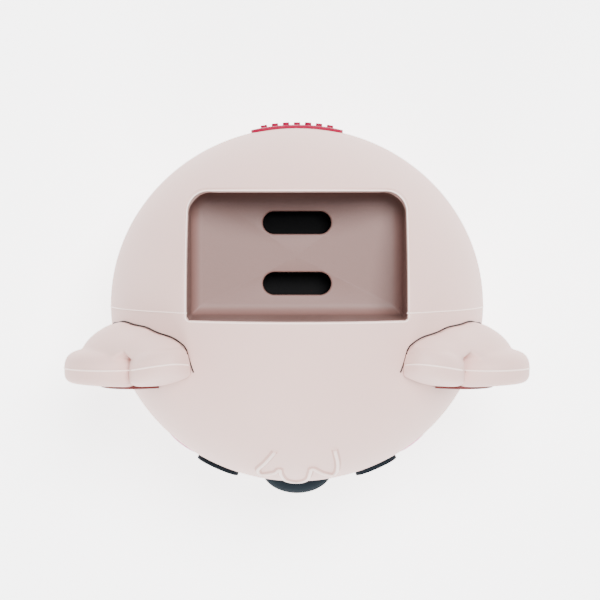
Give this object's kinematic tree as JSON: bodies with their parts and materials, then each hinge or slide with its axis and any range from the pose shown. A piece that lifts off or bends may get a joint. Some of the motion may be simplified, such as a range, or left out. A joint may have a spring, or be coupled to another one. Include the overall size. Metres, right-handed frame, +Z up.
{
  "type": "educational coding robot",
  "caption": "Ball-shaped animal-head coding robot with scalloped side ears, a soft skin, an open accessory bay on top and a two-wheel geared drive below.",
  "frame": {"origin": "on the floor, under the middle of the width and of the length from nose tip to badge", "axes": "+X from the ear on its left to the ear on its right in a front view, +Y from the face to the back, +Z up"},
  "size_m": [0.1206, 0.1006, 0.0939],
  "materials": {
    "soft_skin": "warm pale grey soft-touch silicone, matte",
    "body_plastic": "off-white injection-moulded ABS",
    "tray_plastic": "warm pale grey moulded ABS, fine matt texture",
    "black_plastic": "near-black moulded ABS",
    "dark_trim": "dark slate ABS, satin",
    "cheek_pink": "pink soft-touch silicone inlay",
    "ear_maroon": "dull maroon silicone inlay",
    "badge_red": "crimson silicone badge",
    "gear_nylon": "natural acetal",
    "steel": "bright steel",
    "board": "green solder mask on glass-fibre board",
    "cell_wrap": "silver-blue pouch foil",
    "tyre_rubber": "black rubber",
    "window": "dark red infra-red window"
  },
  "bodies": {
    "robot_body": {"skin": "soft_skin", "front_shell": "body_plastic", "rear_shell": "body_plastic", "chassis_base": "body_plastic", "bay_tray": "tray_plastic", "front_socket": "black_plastic", "rear_socket": "black_plastic", "rear_badge": "badge_red", "nose_spring": "steel", "nose_switch": "black_plastic", "switch_board": "board", "deck": "body_plastic", "main_board": "board", "board_parts": "black_plastic", "battery_pack": "cell_wrap", "speaker": "black_plastic", "card_sensor": "board", "sensor_window": "window", "caster_housing": "body_plastic", "power_switch": "steel", "usb_port": "steel", "usb_board": "board", "base_screws": "steel", "deck_screws": "steel", "board_screws": "steel", "left_ear": "soft_skin", "right_ear": "soft_skin", "left_ear_inner": "ear_maroon", "right_ear_inner": "ear_maroon", "left_ear_clip": "body_plastic", "right_ear_clip": "body_plastic", "left_eye": "dark_trim", "right_eye": "dark_trim", "left_cheek": "cheek_pink", "right_cheek": "cheek_pink", "left_motor": "steel", "right_motor": "steel", "left_gear_pins": "steel", "right_gear_pins": "steel", "left_gear_plate": "body_plastic", "right_gear_plate": "body_plastic", "left_gear_cover": "body_plastic", "right_gear_cover": "body_plastic"},
    "left_wheel": {"left_wheel_hub": "body_plastic", "left_tyre": "tyre_rubber", "left_axle": "steel", "left_wheel_gear": "gear_nylon"},
    "left_second_gear_body": {"left_second_gear": "gear_nylon"},
    "left_first_gear_body": {"left_first_gear": "gear_nylon"},
    "left_pinion_body": {"left_motor_pinion": "steel"},
    "right_wheel": {"right_wheel_hub": "body_plastic", "right_tyre": "tyre_rubber", "right_axle": "steel", "right_wheel_gear": "gear_nylon"},
    "right_second_gear_body": {"right_second_gear": "gear_nylon"},
    "right_first_gear_body": {"right_first_gear": "gear_nylon"},
    "right_pinion_body": {"right_motor_pinion": "steel"},
    "caster": {"caster_ball": "steel"},
    "nose": {"nose_button": "dark_trim"},
    "power_knob": {"power_slider": "black_plastic"}
  },
  "joints": [
    {"name": "left_wheel_spin", "type": "hinge", "parent": "robot_body", "child": "left_wheel", "pos_m": [-0.0235, -0.00343, 0.014], "axis": [1, 0, 0], "continuous": true},
    {"name": "left_second_gear_spin", "type": "hinge", "parent": "robot_body", "child": "left_second_gear_body", "pos_m": [-0.016, -0.00509, 0.02345], "axis": [1, 0, 0], "continuous": true},
    {"name": "left_first_gear_spin", "type": "hinge", "parent": "robot_body", "child": "left_first_gear_body", "pos_m": [-0.015, 0.00393, 0.02674], "axis": [1, 0, 0], "continuous": true},
    {"name": "left_pinion_spin", "type": "hinge", "parent": "robot_body", "child": "left_pinion_body", "pos_m": [-0.014, 0.01179, 0.02123], "axis": [1, 0, 0], "continuous": true},
    {"name": "right_wheel_spin", "type": "hinge", "parent": "robot_body", "child": "right_wheel", "pos_m": [0.0235, -0.00343, 0.014], "axis": [1, 0, 0], "continuous": true},
    {"name": "right_second_gear_spin", "type": "hinge", "parent": "robot_body", "child": "right_second_gear_body", "pos_m": [0.016, -0.00509, 0.02345], "axis": [1, 0, 0], "continuous": true},
    {"name": "right_first_gear_spin", "type": "hinge", "parent": "robot_body", "child": "right_first_gear_body", "pos_m": [0.015, 0.00393, 0.02674], "axis": [1, 0, 0], "continuous": true},
    {"name": "right_pinion_spin", "type": "hinge", "parent": "robot_body", "child": "right_pinion_body", "pos_m": [0.014, 0.01179, 0.02123], "axis": [1, 0, 0], "continuous": true},
    {"name": "caster_roll", "type": "hinge", "parent": "robot_body", "child": "caster", "pos_m": [0, 0.02107, 0.005], "axis": [1, 0, 0], "continuous": true},
    {"name": "nose_press", "type": "slide", "parent": "robot_body", "child": "nose", "axis": [0, 1, 0], "range_m": [0, 0.001], "stiffness_N_per_m": 600, "springref_m": -0.001, "deforming": ["nose_spring"]},
    {"name": "power_slide", "type": "slide", "parent": "robot_body", "child": "power_knob", "axis": [1, 0, 0], "range_m": [0, 0.004]}
  ],
  "couplings": [
    {"joint": "left_second_gear_spin", "follows": "left_wheel_spin", "ratio": -3},
    {"joint": "left_first_gear_spin", "follows": "left_wheel_spin", "ratio": 9},
    {"joint": "left_pinion_spin", "follows": "left_wheel_spin", "ratio": -27},
    {"joint": "right_second_gear_spin", "follows": "right_wheel_spin", "ratio": -3},
    {"joint": "right_first_gear_spin", "follows": "right_wheel_spin", "ratio": 9},
    {"joint": "right_pinion_spin", "follows": "right_wheel_spin", "ratio": -27}
  ]
}
